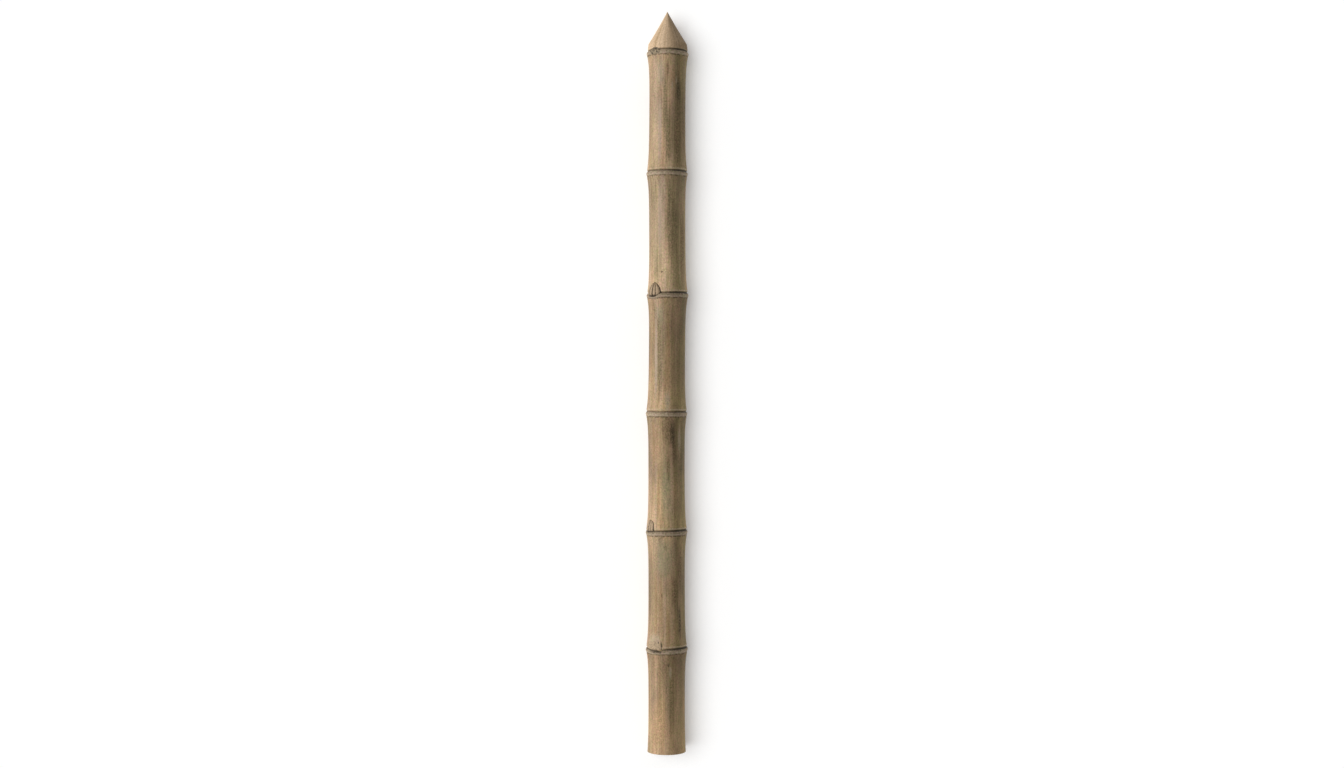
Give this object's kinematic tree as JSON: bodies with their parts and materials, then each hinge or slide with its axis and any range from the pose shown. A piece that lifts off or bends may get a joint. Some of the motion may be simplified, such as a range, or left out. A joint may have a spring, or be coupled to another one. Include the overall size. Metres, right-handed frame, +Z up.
{
  "type": "bamboo cane",
  "caption": "Thick dried bamboo cane with swollen node rings and buds, sawn square and hollow at its base and cut to a cone at its tip, lying on its side.",
  "frame": {"origin": "on the surface that the cane lies on, below the middle of its length and width", "axes": "+Y along the cane from the sawn base to the pointed tip, +Z up, +X to the right with the tip ahead; most of the buds face up and to -X"},
  "size_m": [0.0696, 1.2, 0.0683],
  "materials": {
    "dry_bamboo": "matt, weathered tan skin with fine long fibres, paler over the cut cone, dark in the grooves at the nodes"
  },
  "bodies": {
    "root": {"culm": "dry_bamboo"}
  },
  "joints": []
}
